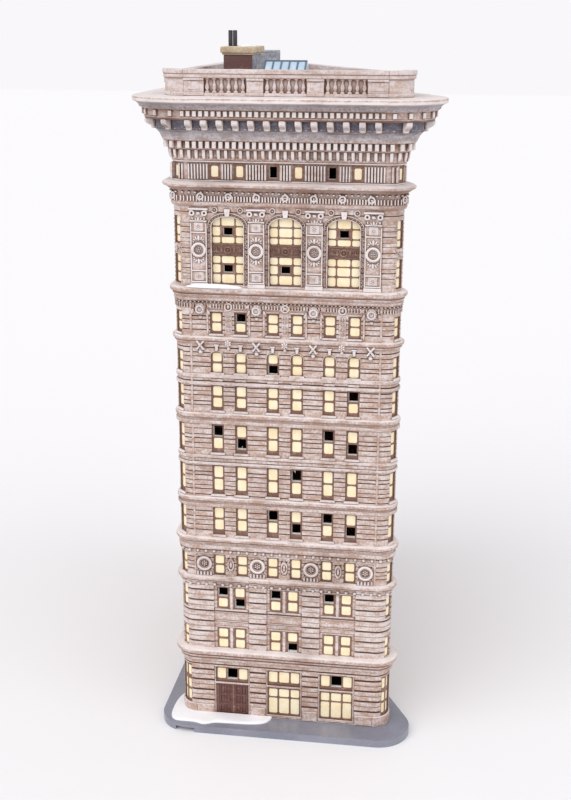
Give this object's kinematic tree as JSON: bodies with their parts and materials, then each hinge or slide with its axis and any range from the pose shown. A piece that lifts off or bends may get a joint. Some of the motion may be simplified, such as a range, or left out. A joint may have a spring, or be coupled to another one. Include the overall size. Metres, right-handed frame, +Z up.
{
  "type": "miniature landmark model",
  "caption": "Hollow wedge-plan miniature stone tower with moulded ledges, wide cornice, roof parapet, snowy plinth and a clip-in lamp underneath.",
  "frame": {"origin": "on the ground, under the middle of the object's outline", "axes": "+Z up, -Y towards the broad flat front that holds the doors, +X to the right of that front as seen from outside"},
  "size_m": [0.1486, 0.2281, 0.3591],
  "materials": {
    "stone_body": "unglazed, brown wash in the recesses with a pale grey dry-brushed surface",
    "stone_trim": "unglazed, dry-brushed pale grey over a brown wash",
    "parapet_stone": "unglazed, dry-brushed off-white over tan",
    "window_cream": "satin cream-yellow paint",
    "frame_brown": "matt dark red-brown paint",
    "maroon_paint": "satin dark maroon paint",
    "plinth_glaze": "satin blue-grey glaze",
    "roof_grey": "matt blue-grey paint",
    "pale_light_paint": "satin pale blue paint",
    "flue_black": "satin near-black paint",
    "snow_white": "satin white, slightly uneven",
    "lamp_plastic": "moulded off-white",
    "lamp_brass": "bright rolled",
    "clip_steel": "plain spring strip",
    "bulb_clear": "clear blown glass"
  },
  "bodies": {
    "tower": {"plinth": "plinth_glaze", "ground_storey_wall": "stone_body", "street_door_left": "maroon_paint", "street_door_right": "maroon_paint", "first_ledge": "stone_trim", "lower_storeys_wall": "stone_body", "pale_ledge": "stone_trim", "medallion_storey_wall": "stone_body", "third_ledge": "stone_trim", "lower_shaft_wall": "stone_body", "fourth_ledge": "stone_trim", "middle_shaft_wall": "stone_body", "fifth_ledge": "stone_trim", "upper_shaft_wall": "stone_body", "string_course": "stone_trim", "festoon_storey_wall": "stone_body", "arch_ledge": "stone_trim", "arch_storey_wall": "stone_body", "attic_ledge": "stone_trim", "attic_wall": "stone_body", "main_cornice": "stone_trim", "roof_deck": "roof_grey", "front_parapet": "parapet_stone", "right_parapet": "parapet_stone", "left_parapet": "parapet_stone", "left_corner_block": "parapet_stone", "right_corner_block": "parapet_stone", "prow_block": "parapet_stone", "stair_bulkhead": "maroon_paint", "bulkhead_cap": "parapet_stone", "flue_left": "flue_black", "flue_right": "flue_black", "rear_bulkhead": "roof_grey", "skylight_curb": "roof_grey", "skylight_lights": "pale_light_paint", "ground_snow_drift": "snow_white", "ledge_snow": "snow_white", "cap_snow": "snow_white"},
    "lamp": {"lamp_flange": "lamp_plastic", "lamp_socket": "lamp_plastic", "socket_screw_shell": "lamp_brass", "centre_contact": "lamp_brass"},
    "clip_right": {"spring_clip_right": "clip_steel"},
    "clip_left": {"spring_clip_left": "clip_steel"},
    "bulb": {"bulb_cap": "lamp_brass", "bulb_glass": "bulb_clear", "bulb_stem": "clip_steel"}
  },
  "joints": [
    {"name": "lamp_slide", "type": "slide", "parent": "tower", "child": "lamp", "axis": [0, 0, 1], "range_m": [-0.09, 0]},
    {"name": "bulb_turn", "type": "hinge", "parent": "lamp", "child": "bulb", "pos_m": [-0.016, -0.03341, 0.03], "axis": [0, 0, 1], "range_deg": [0, 720]},
    {"name": "clip_right_flex", "type": "hinge", "parent": "lamp", "child": "clip_right", "pos_m": [-0.00515, -0.03341, 0.0027], "axis": [0, -1, 0], "range_deg": [0, 6], "stiffness_Nm_per_rad": 0.05},
    {"name": "clip_left_flex", "type": "hinge", "parent": "lamp", "child": "clip_left", "pos_m": [-0.02685, -0.03341, 0.0027], "axis": [0, 1, 0], "range_deg": [0, 6], "stiffness_Nm_per_rad": 0.05}
  ]
}
